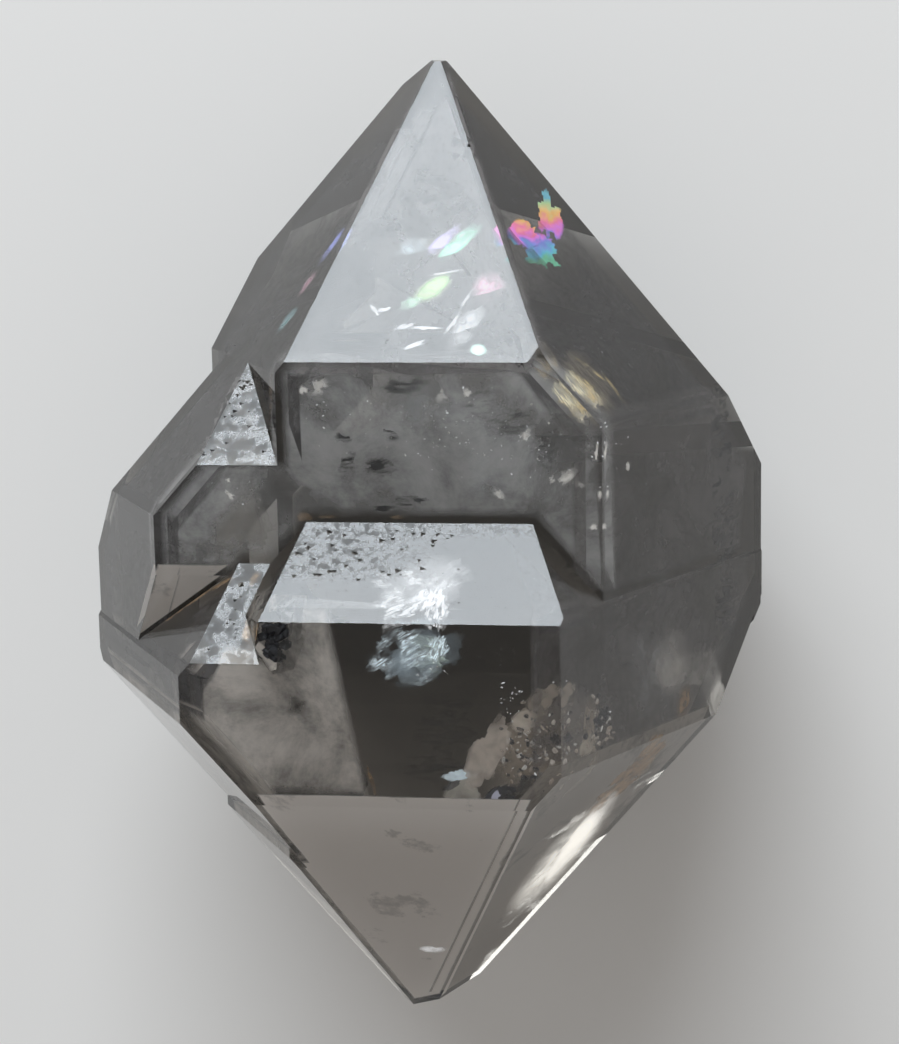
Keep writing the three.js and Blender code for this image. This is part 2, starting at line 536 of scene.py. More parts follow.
def cloud(
    finish, scale, detail=4.0, distortion=0.0, stretch=(1, 1, 1), turn=0.0, space="Object", fineness=0.5
):
    """Uneven cloudy noise; scale is in bumps per metre, or per sheet in UV space.

    Fineness is how strong the small bumps are beside the large ones.
    """
    place = finish.add("ShaderNodeTexCoord", output=space)
    turned = finish.add(
        "ShaderNodeMapping", None, {0: place, "Rotation": (0, 0, math.radians(turn)), "Scale": stretch}
    )
    sockets = {
        "Vector": turned,
        "Scale": scale,
        "Detail": detail,
        "Roughness": fineness,
        "Distortion": distortion,
    }
    return finish.add("ShaderNodeTexNoise", None, sockets)


def tint_of(finish, output="Color"):
    return finish.add("ShaderNodeAttribute", {"attribute_name": "tint"}, output=output)


def veil_material():
    """Milky clouds in thin veils, and dark veils of painted shade."""
    values = inside_look()
    finish = Finish("milky_and_shade_veils")
    mottled = cloud(finish, 520, 7.0, 0.3, fineness=0.7).step(0.32, 0.68)
    mask = (0.25 + mottled * 0.75) * tint_of(finish, "Alpha") * values.haze
    return inner_material(finish, tint_of(finish), mask, 0.8)


def wisp_material():
    """Milky wisps that fade at their edges."""
    values = inside_look()
    finish = Finish("milky_wisps")
    uneven = cloud(finish, 520, 6.0, 1.0, (1, 0.6, 1), 30).step(0.36, 0.7)
    mask = sheet_fade(finish, 0.1, 0.5) * uneven * tint_of(finish, "Alpha") * values.haze
    return inner_material(finish, tint_of(finish), mask, 0.8)


def film_material():
    """Thin films in pale colours that shine with a painted glow."""
    finish = Finish("pale_film")
    uneven = cloud(finish, 2600, 3.0, 0.4).step(0.3, 0.6)
    mask = sheet_fade(finish, 0.1, 0.5) * (0.4 + uneven * 0.6) * tint_of(finish, "Alpha")
    return inner_material(finish, tint_of(finish), mask, 0.4, inside_look().glow * 2)


# Where the rainbow's colours start, at the top, and over what height they run.
RAINBOW_TOP = 7.85 * MM
RAINBOW_HEIGHT = 1.45 * MM


def rainbow_material():
    """A film whose colour runs through the rainbow with its thickness, and which glows with painted light."""
    finish = Finish("rainbow_film")
    place = finish.add("ShaderNodeTexCoord", output="Object")
    along = finish.add("ShaderNodeSeparateXYZ", None, {0: place}, "Y")
    wobble = cloud(finish, 1900, 2.0, 0.8)
    thickness = (RAINBOW_TOP - along) * (1 / RAINBOW_HEIGHT) + (wobble - 0.5) * 0.8
    stops = (
        (0.0, (0.16, 0.5, 0.62, 1)),
        (0.16, (0.42, 0.62, 0.3, 1)),
        (0.32, (0.95, 0.5, 0.14, 1)),
        (0.46, (0.95, 0.2, 0.42, 1)),
        (0.6, (0.72, 0.22, 0.85, 1)),
        (0.72, (0.2, 0.25, 0.75, 1)),
        (0.86, (0.1, 0.5, 0.7, 1)),
        (1.0, (0.15, 0.55, 0.35, 1)),
    )
    colour = finish.add("ShaderNodeValToRGB", {"stops": stops}, {0: thickness})
    patches = cloud(finish, 2300, 3.0, 1.2).step(0.22, 0.38)
    mask = sheet_fade(finish, 0.36, 0.5) * patches * tint_of(finish, "Alpha")
    return inner_material(finish, colour, mask, 0.35, inside_look().glow * 1.6)


def feather_material():
    """A fracture whose fine ribs flash with a painted glow."""
    finish = Finish("feather_fracture")
    ribs = cloud(finish, 4.5, 6.0, 1.6, (1.2, 3.0, 1), 25, "UV").step(0.34, 0.7)
    patches = cloud(finish, 1500, 3.0, 0.5).step(0.32, 0.6)
    mask = sheet_fade(finish, 0.25, 0.5) * ribs * patches * tint_of(finish, "Alpha")
    return inner_material(finish, tint_of(finish), mask, 0.3, inside_look().glow * 2.2)


def fibre_material():
    """Fine parallel fibres in a stained fracture, glowing with painted light."""
    finish = Finish("golden_fibres")
    fibres = cloud(finish, 4.0, 4.0, 0.4, (0.8, 9, 1), 0, "UV").step(0.42, 0.6)
    patches = cloud(finish, 1500, 3.0, 0.4).step(0.3, 0.55)
    mask = sheet_fade(finish, 0.15, 0.5) * (0.12 + fibres * 0.88) * patches * tint_of(finish, "Alpha")
    return inner_material(finish, tint_of(finish), mask, 0.35, inside_look().glow * 1.3)


def chip_material():
    """Splinters that glow a little with painted light, as glints."""
    finish = Finish("splinters")
    grain = cloud(finish, 9000, 2.0)
    mask = tint_of(finish, "Alpha") * (0.75 + grain * 0.5)
    return inner_material(finish, tint_of(finish), mask, 0.3, inside_look().glow)


def speck_material():
    """Dark streaks that fade at their edges."""
    values = inside_look()
    finish = Finish("dark_specks")
    streaks = cloud(finish, 2800, 5.0, 0.3, (0.8, 2.6, 1), 15).step(0.38, 0.64)
    mask = sheet_fade(finish, 0.05, 0.5) * streaks * tint_of(finish, "Alpha")
    return inner_material(finish, (*values.speck_colour, 1), mask, 0.5)


def crust_material():
    """Petals and haze of the inner crust, with hollows of painted shade and pale painted highlights."""
    finish = Finish("inner_crust_and_painted_light")
    uneven = cloud(finish, 1900, 4.0, 0.3).step(0.25, 0.6)
    mask = sheet_fade(finish, 0.3, 0.5) * (0.45 + uneven * 0.55) * tint_of(finish, "Alpha")
    return inner_material(finish, tint_of(finish), mask, 0.45, inside_look().glow * 0.4)


def gleam_material():
    """A painted reflection: a gleam that is brightest along its middle."""
    finish = Finish("edge_gleam")
    streaks = cloud(finish, 1300, 5.0, 0.4, (1, 0.3, 1), 20).step(0.3, 0.62)
    mask = sheet_fade(finish, 0.05, 0.5) * (0.25 + streaks * 0.75) * tint_of(finish, "Alpha")
    return inner_material(finish, tint_of(finish), mask, 0.4, inside_look().glow * 3.4)


def filling_material():
    """Black, slightly shiny carbon."""
    values = inside_look()
    finish = Finish("black_filling")
    lumps = cloud(finish, 6000, 5.0)
    bump = finish.add("ShaderNodeBump", None, {"Strength": 0.6, "Distance": 0.05 * MM, "Height": lumps})
    sockets = {"Base Color": (*values.speck_colour, 1), "Roughness": 0.3 + lumps * 0.4, "Normal": bump}
    return finish.close(finish.add("ShaderNodeBsdfPrincipled", None, sockets))


def rust_material():
    """Iron stains in blotches of two browns, with a faint painted glow."""
    values = inside_look()
    finish = Finish("iron_stain")
    blotches = cloud(finish, 2200, 5.0, 0.6)
    stops = ((0.3, (*values.rust_colour, 1)), (0.7, (0.55, 0.37, 0.2, 1)))
    colour = finish.add("ShaderNodeValToRGB", {"stops": stops}, {0: blotches})
    mask = sheet_fade(finish, 0.15, 0.5) * blotches.step(0.25, 0.55) * tint_of(finish, "Alpha")
    return inner_material(finish, colour, mask, 0.7, 0.05)


# ---- pieces inside the stone: place (mm), facing, spin, width, height, colour, strength ----

PALE = (0.86, 0.79, 0.72)
COOL = (0.72, 0.75, 0.78)
HAZE = (0.72, 0.71, 0.7)
SMOKE = (0.42, 0.38, 0.34)
# The two darkest colours here are painted shade, for the veils that darken the body.
SHADE_VEIL_GREY = (0.2, 0.185, 0.18)
SHADE_VEIL_BLACK = (0.05, 0.045, 0.045)
WISPS = (
    ((4.5, -1.6, 7.6), RIGHT, 10, 3.2, 5.0, COOL, 0.7),
    ((1.0, 2.9, 8.2), FRONT, 70, 3.6, 6.4, COOL, 0.6),
    ((5.4, -2.2, 7.4), RIGHT, 30, 1.8, 2.6, PALE, 0.8),
    ((-4.1, 1.3, 8.6), FRONT, 20, 3.1, 3.8, (0.22, 0.195, 0.17), 1.6),
)

# Where the veil at the lower left ends: the middle of that edge and the direction out of it.
LOWER_LEFT_EDGE = ((-0.95, -2.5, 10.2), (0.98, 0.19, 0))
# Veils that lie parallel to faces: turn round the long axis, lean (1 upper tip, 0 prism, -1 lower tip),
# depth under the face in millimetres, lowest and highest place along the stone, colour and strength,
# and the edge where it ends, if it ends before the face does.
VEILS = (
    (0, -1, 0.35, (-12, 0), (1.0, 0.93, 0.87), 3.0),
    (0, 0, 0.9, (-0.5, 6), HAZE, 0.75),
    (0, 0, 1.2, (-6, -0.4), PALE, 0.95, LOWER_LEFT_EDGE),
    # Veils in the two darkest colours are painted shade that darkens the body under those faces.
    (60, 0, 0.8, (-6, 6), SHADE_VEIL_GREY, 0.9),
    (60, 1, 0.8, (0, 12), SHADE_VEIL_BLACK, 1.0),
    (-60, 1, 0.7, (-12, 12), SHADE_VEIL_BLACK, 1.1),
    (0, 1, 0.6, (3, 12), SHADE_VEIL_GREY, 1.1),
    (60, -1, 0.4, (-12, 0), SMOKE, 2.0),
    (-60, -1, 0.6, (-12, 0), PALE, 0.8),
    (-60, 0, 0.6, (-12, 12), SHADE_VEIL_BLACK, 1.3),
)
# How wide a veil fades at its edge, and how high above the floor the lowest veiled faces lie, in millimetres.
VEIL_FADE = 0.3
VEIL_FLOOR = 4
# Points closer than this are one, and faces that differ by less than this angle are one.
SAME_POINT = 0.001 * MM
SAME_PLANE = math.radians(1)

MINT = (0.5, 0.95, 0.75)
WHITE = (0.95, 0.96, 0.98)
FILMS = (
    ((1.2, 7.08, 7.87), TIP, 43, 1.7, 0.5, MINT, 0.9),
    ((0.84, 7.1, 7.8), TIP, 43, 1.5, 0.42, (0.74, 0.66, 0.98), 0.7),
    ((0.75, 6.2, 8.57), TIP, 34, 1.3, 0.6, (0.68, 0.95, 0.5), 0.8),
    ((1.96, 6.17, 8.51), TIP, 60, 1.0, 0.9, (0.97, 0.62, 0.76), 0.65),
    ((1.83, 4.98, 9.54), TIP, 0, 0.5, 0.42, (0.75, 1.0, 0.9), 1.0),
    ((0.26, 5.88, 8.74), TIP, 20, 0.8, 0.4, (0.6, 0.92, 0.7), 0.55),
    ((-1.45, 6.98, 7.56), LEFT_TIP, 62, 1.3, 0.36, (0.4, 0.45, 0.98), 0.7),
    ((-2.0, 6.2, 7.95), LEFT_TIP, 60, 0.9, 0.36, (0.7, 0.4, 0.5), 0.45),
    ((-2.35, 5.4, 8.3), LEFT_TIP, 50, 1.0, 0.4, (0.4, 0.7, 0.75), 0.45),
    ((1.5, 5.35, 9.1), TIP, 55, 1.6, 0.7, WHITE, 0.55),
    ((0.2, 7.0, 7.9), TIP, 20, 1.0, 0.6, (0.75, 0.9, 0.98), 0.35),
    # This white film is a painted highlight near the lower tip.
    ((0.34, -9.0, 7.95), LOWER_TIP, 0, 0.85, 0.3, WHITE, 1.0),
    ((0.6, -1.35, 10.6), FRONT, 20, 2.4, 1.5, (0.6, 0.75, 0.85), 0.3),
    ((0.7, -0.1, 10.3), TIP, 20, 2.6, 1.6, WHITE, 0.3),
)
THREADS = (
    ((-0.47, 5.82, 9.11), TIP, -55, 0.55, 0.15, WHITE, 1.0),
    ((-0.3, 5.84, 9.12), TIP, 12, 0.5, 0.14, WHITE, 1.0),
    ((0.2, 5.5, 9.34), TIP, 14, 0.7, 0.2, WHITE, 1.0),
    ((0.62, 5.47, 9.36), TIP, -3, 1.2, 0.13, WHITE, 1.0),
    ((0.46, 5.13, 9.6), TIP, 22, 0.75, 0.17, WHITE, 1.0),
    ((0.95, 6.55, 8.5), TIP, 8, 1.2, 0.08, WHITE, 0.6),
    ((1.25, 5.55, 9.2), TIP, 55, 1.0, 0.16, WHITE, 0.6),
    ((1.5, 6.0, 8.8), TIP, 60, 0.9, 0.14, WHITE, 0.5),
)

# Painted highlights: small soft white spots.
HIGHLIGHT_WHITE = (0.9, 0.87, 0.82)
PAINTED_HIGHLIGHT_FLECKS = (
    ((3.72, 2.38, 9.5), FRONT, 30, 0.75, 0.45, HIGHLIGHT_WHITE, 0.5),
    ((3.98, 2.2, 9.55), FRONT, -30, 0.4, 0.25, HIGHLIGHT_WHITE, 0.4),
    ((3.4, 2.3, 9.5), FRONT, 0, 0.3, 0.3, HIGHLIGHT_WHITE, 0.5),
    ((-1.65, 4.33, 9.7), FRONT, 20, 0.6, 0.5, HIGHLIGHT_WHITE, 0.4),
    ((-1.98, 4.25, 9.7), FRONT, 0, 0.35, 0.3, HIGHLIGHT_WHITE, 0.5),
    ((1.05, 4.15, 9.7), FRONT, 60, 0.5, 0.36, HIGHLIGHT_WHITE, 0.4),
    ((1.6, 4.2, 9.7), FRONT, -40, 0.3, 0.3, HIGHLIGHT_WHITE, 0.4),
    ((2.85, 3.28, 9.6), FRONT, 50, 0.5, 0.3, HIGHLIGHT_WHITE, 0.45),
    ((2.25, 1.98, 9.61), FRONT, -50, 0.5, 0.26, HIGHLIGHT_WHITE, 0.4),
    ((4.3, 1.28, 9.71), RIGHT, 0, 0.3, 0.22, HIGHLIGHT_WHITE, 0.45),
    ((4.36, 2.9, 9.7), RIGHT, 80, 0.7, 0.16, HIGHLIGHT_WHITE, 0.5),
    ((4.43, 1.99, 9.7), RIGHT, 80, 0.4, 0.14, HIGHLIGHT_WHITE, 0.5),
    ((4.63, 2.43, 8.64), RIGHT, 80, 0.4, 0.24, HIGHLIGHT_WHITE, 0.45),
    ((-3.7, 1.9, 9.5), FRONT, -40, 0.4, 0.25, HIGHLIGHT_WHITE, 0.45),
    ((-3.73, 2.24, 9.5), FRONT, 0, 0.2, 0.16, HIGHLIGHT_WHITE, 0.45),
)

RAINBOW = (
    ((2.74, 7.38, 5.78), RIGHT_TIP, -14, 0.95, 1.7, WHITE, 1.0),
    ((2.3, 7.08, 6.9), RIGHT_TIP, 24, 1.25, 0.85, WHITE, 1.0),
    ((2.66, 6.66, 6.8), RIGHT_TIP, 10, 1.5, 1.1, WHITE, 0.95),
)

ICE = (0.8, 0.93, 1.0)
FEATHER = (
    ((0.1, -1.15, 11.0), FRONT, 30, 1.7, 0.9, ICE, 1.0),
    ((0.35, -1.5, 10.95), FRONT, 25, 1.5, 0.5, ICE, 1.0),
    ((1.05, -1.08, 11.0), FRONT, 60, 0.9, 0.6, ICE, 1.0),
    ((0.6, -1.8, 10.9), FRONT, 15, 1.1, 0.45, ICE, 0.8),
    ((0.75, -1.3, 10.7), FRONT, -20, 1.4, 1.2, (0.5, 0.6, 0.54), 0.6),
    ((0.4, -0.25, 10.75), TIP, 20, 2.0, 1.2, WHITE, 0.85),
    ((1.0, -0.35, 10.85), TIP, 70, 1.2, 0.9, WHITE, 1.0),
    ((1.25, 0.25, 10.5), TIP, 40, 1.2, 0.8, WHITE, 0.45),
    ((0.2, 0.1, 10.5), TIP, 0, 1.6, 0.8, WHITE, 0.6),
)

GOLD = (0.85, 0.66, 0.32)
SAND = (0.5, 0.42, 0.3)
FIBRES = (
    ((3.68, 4.15, 9.3), RIGHT_TIP, -62, 0.95, 0.7, (1.0, 0.93, 0.66), 1.0),
    ((3.85, 4.0, 9.2), RIGHT_TIP, -50, 1.1, 0.8, GOLD, 1.0),
    ((4.0, 3.8, 9.15), RIGHT_TIP, -75, 0.9, 0.7, (0.95, 0.85, 0.6), 0.9),
    ((3.9, 4.1, 8.9), RIGHT_TIP, -55, 2.2, 1.4, SAND, 0.4),
    ((4.05, 4.5, 8.85), RIGHT_TIP, -38, 1.3, 0.16, GOLD, 0.7),
    ((4.55, 3.95, 8.6), RIGHT_TIP, -62, 1.2, 0.14, GOLD, 0.7),
    ((3.15, 4.75, 9.35), RIGHT_TIP, -70, 1.0, 0.5, SAND, 0.6),
)

# A crust that grew over with small crystals: its haze and petals, hollows darkened with painted shade, and
# small pale spots that are painted highlights.
DARK = (0.03, 0.03, 0.035)
CRUST_AND_PAINTED_LIGHT = (
    ((3.2, -3.4, 10.2), FRONT, 20, 2.9, 2.6, (0.3, 0.25, 0.2), 0.75),
    ((2.08, -3.42, 10.87), FRONT, -28, 0.95, 2.2, (0.5, 0.43, 0.37), 0.95),
    ((1.5, -4.4, 10.85), FRONT, -40, 0.9, 1.3, (0.42, 0.39, 0.34), 0.9),
    ((1.41, -3.93, 11.0), FRONT, 10, 0.8, 0.32, ICE, 1.0),
    ((1.3, -4.15, 10.95), FRONT, 30, 0.6, 0.22, DARK, 0.8),
    ((2.35, -4.4, 10.9), FRONT, 25, 1.1, 0.6, DARK, 1.0),
    ((2.25, -4.38, 11.0), FRONT, 60, 0.36, 0.24, (0.55, 0.55, 0.66), 0.9),
    ((2.9, -4.1, 10.9), FRONT, 30, 0.8, 0.36, DARK, 0.8),
    ((4.2, -2.9, 9.9), RIGHT, 10, 0.8, 0.5, DARK, 0.9),
    ((3.55, -3.1, 10.9), RIGHT, -30, 0.4, 0.3, DARK, 0.8),
    ((3.0, -3.6, 10.8), FRONT, 50, 0.5, 0.3, DARK, 0.7),
    ((2.9, -2.7, 10.9), FRONT, 20, 0.8, 0.6, (0.6, 0.52, 0.44), 0.7),
    ((3.9, -3.45, 10.2), RIGHT, 30, 0.9, 0.5, (0.5, 0.44, 0.36), 0.7),
    ((3.3, -2.2, 10.8), RIGHT, 30, 1.2, 0.6, (0.4, 0.34, 0.28), 0.6),
)

# A painted reflection of the tip light: a long soft gleam inside the lower right, beside the edge.
GLEAM = (
    ((3.15, -6.9, 7.45), LOWER_RIGHT_FACE, 0, 2.8, 4.8, (1.0, 0.97, 0.9), 1.1),
    ((3.6, -6.35, 7.5), LOWER_RIGHT_FACE, 0, 1.9, 3.6, (1.0, 0.98, 0.94), 1.2),
)

# Stains and specks take their colour from their material, so the one in their rows doesn't count.
RUST = (
    ((-5.18, -1.0, 9.2), LEFT_TIP_FACE, 40, 1.4, 0.3, WHITE, 1.0),
    ((-4.5, -0.52, 9.58), LEFT_TIP_FACE, 40, 1.7, 0.24, WHITE, 1.0),
    ((-3.81, -0.05, 10.1), LEFT_TIP_FACE, 36, 1.2, 0.24, WHITE, 0.9),
    ((-3.14, -0.85, 11.06), FRONT_TIP_FACE, 88, 0.9, 0.3, WHITE, 1.0),
    ((-3.08, -1.2, 11.34), FRONT_TIP_FACE, 85, 0.6, 0.3, WHITE, 1.0),
    ((-3.1, 0.12, 10.28), FRONT_TIP_FACE, 60, 0.5, 0.2, WHITE, 0.9),
    ((-2.65, 4.04, 9.85), LEFT_FACE, 80, 1.6, 0.3, WHITE, 0.45),
    ((-2.0, 1.48, 9.95), FRONT, 0, 0.5, 0.3, WHITE, 0.4),
    ((-1.5, 1.5, 10.02), FRONT, 0, 0.7, 0.1, WHITE, 0.25),
    ((0.05, 1.5, 10.02), FRONT, 0, 0.4, 0.14, WHITE, 0.3),
    ((5.27, -4.21, 7.76), LOWER_RIGHT_FACE, 0, 1.4, 0.8, WHITE, 2.0),
    ((4.66, -4.69, 8.09), LOWER_RIGHT_FACE, 0, 1.3, 0.8, WHITE, 2.0),
    ((4.2, -5.15, 8.4), LOWER_RIGHT_FACE, 0, 0.7, 0.5, WHITE, 0.8),
    ((4.9, -4.6, 7.75), LOWER_RIGHT_FACE, 5, 1.8, 2.8, WHITE, 1.4),
    ((6.0, -3.3, 7.3), RIGHT_FACE, -20, 0.7, 1.2, WHITE, 0.75),
    ((5.4, -4.0, 8.1), LOWER_RIGHT_FACE, 0, 0.7, 1.0, WHITE, 0.75),
    ((4.2, -5.3, 8.05), LOWER_RIGHT_FACE, 0, 1.3, 1.4, WHITE, 1.0),
    ((-0.58, -4.3, 9.9), FRONT, 105, 1.1, 0.14, WHITE, 0.8),
)

SPECKS = (
    ((-1.08, 2.6, 9.45), FRONT, 70, 0.9, 0.5, WHITE, 1.5),
    ((-0.35, 2.55, 9.5), FRONT, 0, 1.0, 0.6, WHITE, 1.6),
    ((-1.13, 3.23, 9.31), FRONT, 20, 0.6, 0.5, WHITE, 1.3),
    ((-0.12, 3.3, 9.31), FRONT, 40, 0.6, 0.6, WHITE, 1.4),
    ((0.28, 1.8, 9.41), FRONT, 2, 1.1, 0.34, WHITE, 1.8),
    ((-0.3, 1.62, 9.41), FRONT, 0, 0.7, 0.22, WHITE, 1.8),
    ((0.1, 4.3, 9.41), FRONT, 10, 1.6, 0.6, WHITE, 0.9),
    ((1.8, 3.9, 9.4), FRONT, 60, 1.6, 0.9, WHITE, 0.7),
    ((2.5, 3.5, 9.4), FRONT, 20, 1.9, 1.1, WHITE, 0.6),
    ((3.3, 2.9, 9.4), FRONT, 80, 1.4, 0.8, WHITE, 0.5),
    ((6.4, 2.2, 5.3), RIGHT_FACE, 4, 1.8, 3.4, WHITE, 2.0),
    ((6.5, 0.4, 5.1), RIGHT_FACE, -6, 1.7, 3.4, WHITE, 2.0),
    ((6.5, -1.5, 5.0), RIGHT_FACE, 5, 1.6, 2.6, WHITE, 1.8),
    ((3.75, 0.1, 9.6), RIGHT, -30, 1.4, 0.9, WHITE, 0.5),
    ((1.1, -3.1, 9.6), FRONT, 70, 2.6, 1.8, WHITE, 0.3),
    ((0.9, -4.0, 9.6), FRONT, 0, 2.4, 0.9, WHITE, 0.4),
)

# Painted glints: bright points that stand out, as place and size.
PAINTED_GLINTS = (
    ((4.47, 3.48, 9.8), 0.11),
    ((4.4, 3.13, 9.8), 0.08),
    ((4.27, 2.82, 9.7), 0.1),
    ((4.44, 2.16, 9.7), 0.07),
    ((4.68, 3.08, 8.73), 0.07),
    ((4.93, 1.91, 7.95), 0.09),
    ((2.72, 3.23, 9.61), 0.07),
    ((2.32, 2.75, 9.61), 0.07),
    ((1.51, 4.31, 9.7), 0.08),
    ((1.15, 3.76, 9.7), 0.08),
    ((-1.56, 3.69, 9.71), 0.07),
    ((-4.09, 2.17, 9.51), 0.06),
    ((-3.43, 1.69, 9.41), 0.06),
    ((2.45, -1.83, 11.16), 0.12),
    ((3.51, -1.84, 10.9), 0.09),
    ((4.25, -2.92, 9.37), 0.13),
    ((1.76, -4.01, 10.47), 0.14),
    ((1.23, -4.06, 10.6), 0.1),
    ((3.08, -3.95, 10.6), 0.12),
)

# Zones of fine grain: lowest corner, highest corner, how many, largest size, colours.
# The near-white grain is partly real grain and partly painted glints.
GRAIN_AND_GLINTS = ((0.9, 0.9, 0.92), (0.7, 0.7, 0.72), (0.55, 0.53, 0.5), (0.4, 0.39, 0.38))
SUGARY_GRAIN = (
    (0.6, 0.58, 0.55),
    (0.4, 0.36, 0.32),
    DARK,
    (0.3, 0.25, 0.21),
    (0.2, 0.17, 0.15),
    DARK,
    (0.34, 0.29, 0.24),
    (0.14, 0.13, 0.12),
)
GRAIN_ZONES = (
    ((-2.2, 2.4, 9.2), (4.1, 4.6, 9.7), 130, 0.08, GRAIN_AND_GLINTS),
    ((0.8, 1.8, 8.9), (4.2, 4.3, 9.7), 120, 0.07, GRAIN_AND_GLINTS),
    ((4.0, 1.0, 8.3), (4.6, 3.6, 9.4), 30, 0.07, GRAIN_AND_GLINTS),
    ((3.6, 3.6, 7.6), (5.0, 5.0, 8.3), 30, 0.06, GRAIN_AND_GLINTS),
    ((2.2, -4.6, 10.3), (3.8, -2.2, 11.1), 150, 0.26, SUGARY_GRAIN),
    ((3.3, -4.1, 9.4), (4.8, -2.3, 10.3), 100, 0.26, SUGARY_GRAIN),
    ((2.1, -2.6, 10.5), (3.0, -1.7, 11.2), 24, 0.1, GRAIN_AND_GLINTS),
    ((0.4, -2.1, 10.6), (1.3, -1.0, 11.1), 30, 0.08, GRAIN_AND_GLINTS),
    ((1.7, -1.7, 10.6), (3.3, -0.6, 11.1), 20, 0.05, GRAIN_AND_GLINTS),
    ((-3.9, 1.4, 9.2), (-2.6, 2.3, 9.6), 14, 0.05, GRAIN_AND_GLINTS),
)

# The pit: lowest and highest corner of where its black lumps lie, and how many there are.
PIT = ((-2.75, -1.4, 11.12), (-2.25, -0.65, 11.3))
PIT_LUMPS = 46


def sheets(rows, seed, **shape):
    """One sheet for each row of a table, each with its own seed."""
    return [sheet(row, seed + index, **shape) for index, row in enumerate(rows)]


def heap_place(low, high):
    """A place that lies in the rounded heap that fills a box, thinner towards its edge."""
    while True:
        spread = Vector([chance.gauss(0, 0.5) for _ in range(3)])
        if spread.length < 1:
            return [(a + b) / 2 + (b - a) / 2 * away for a, b, away in zip(low, high, spread)]


def chip_rows():
    """Rows for the splinters: the painted glints that stand out, then the fine grain."""
    rows = [(at, size, 0.45, WHITE, 0.8) for at, size in PAINTED_GLINTS]
    for low, high, count, largest, colours in GRAIN_ZONES:
        for _ in range(count):
            at = heap_place(low, high)
            size = largest * chance.uniform(0.3, 1.0)
            slim = chance.uniform(0.2, 0.7)
            rows.append((at, size, slim, chance.choice(colours), chance.uniform(0.3, 0.9)))
    return rows


def filling_rows():
    """Rows for the black lumps packed in the pit."""
    rows = []
    for _ in range(PIT_LUMPS):
        at = [chance.uniform(a, b) for a, b in zip(*PIT)]
        rows.append((at, chance.uniform(0.25, 0.42), chance.uniform(0.6, 0.9), DARK, 1.0))
    return rows


def face_normal(turn, lean):
    """Outward direction of a face, from its turn round the long axis and its lean."""
    angle = math.radians(turn)
    slope = lean * math.tan(TIP_FACE_ANGLE)
    return Vector((math.sin(angle), slope, math.cos(angle))).normalized()


def veil(row):
    """A copy of one flat face of the stone, sunk a little way under it."""
    turn, lean, depth, (low, high), colour, strength, *edges = row
    faded = VEIL_FADE * min(1, depth) * MM
    lowest = (VEIL_FLOOR + depth) * MM
    outward = face_normal(turn, lean)
    stone = frame["nodes"][CRYSTAL]
    piece = stone.copy()
    piece.data = stone.data.copy()
    bpy.context.collection.objects.link(piece)
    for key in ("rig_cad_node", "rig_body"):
        del piece[key]
    piece.parent = None
    deselect()
    piece.select_set(True)
    bpy.context.view_layer.objects.active = piece
    bpy.ops.object.mode_set(mode="EDIT")
    bpy.ops.mesh.select_mode(type="FACE")
    bpy.ops.mesh.select_all(action="DESELECT")
    bpy.ops.object.mode_set(mode="OBJECT")
    for face in piece.data.polygons:
        inside = low * MM <= face.center.y <= high * MM and face.center.z > lowest
        face.select = not (inside and face.normal.dot(outward) > SAME_FACE)
    bpy.ops.object.mode_set(mode="EDIT")
    bpy.ops.mesh.delete(type="FACE")
    bpy.ops.mesh.select_all(action="SELECT")
    bpy.ops.mesh.remove_doubles(threshold=SAME_POINT)
    bpy.ops.mesh.dissolve_limited(angle_limit=SAME_PLANE)
    bpy.ops.transform.translate(value=-outward * depth * MM)
    for place, side in edges:
        bpy.ops.mesh.bisect(plane_co=Vector(place) * MM, plane_no=side, clear_outer=True)
        bpy.ops.mesh.select_all(action="SELECT")
    bpy.ops.mesh.inset(thickness=faded, use_boundary=True, use_even_offset=False)
    bpy.ops.object.mode_set(mode="OBJECT")
    inner = {index for face in piece.data.polygons if face.select for index in face.vertices}
    set_tint(piece, colour, strength)
    for index, point in enumerate(piece.data.color_attributes["tint"].data):
        if index not in inner:
            point.color[3] = 0
    return piece


class HERKIMER_OT_veils(bpy.types.Operator):
    """Hangs milky veils, dark veils of painted shade and wisps inside the stone"""

    bl_idname = "herkimer.veils"
    bl_label = "Milky veils"

    def execute(self, context):
        join([veil(row) for row in VEILS], "milky_and_shade_veils", veil_material(), smooth=False)
        wisps = sheets(WISPS, 1, steps=32, ragged=0.3, wave=1.6, depth=0.4)
        join(wisps, "milky_wisps", wisp_material())
        return {"FINISHED"}


class HERKIMER_OT_films(bpy.types.Operator):
    """Adds pale coloured films, white threads, painted highlights and the rainbow fracture"""

    bl_idname = "herkimer.films"
    bl_label = "Coloured films"

    def execute(self, context):
        films = sheets(FILMS, 20, steps=20, wave=0.5, depth=0.05)
        join(films, "pale_films", film_material())
        threads = sheets(THREADS, 40, steps=20, ragged=0.6, wave=0.12, depth=0.05)
        join(threads, "white_threads", film_material())
        highlight_flecks = sheets(PAINTED_HIGHLIGHT_FLECKS, 50, steps=20, ragged=0.7, wave=0.12, depth=0.04)
        join(highlight_flecks, "painted_highlight_flecks", film_material())
        rainbow = sheets(RAINBOW, 60, steps=28, ragged=0.5, wave=0.4, depth=0.1)
        join(rainbow, "rainbow_fracture", rainbow_material())
        return {"FINISHED"}


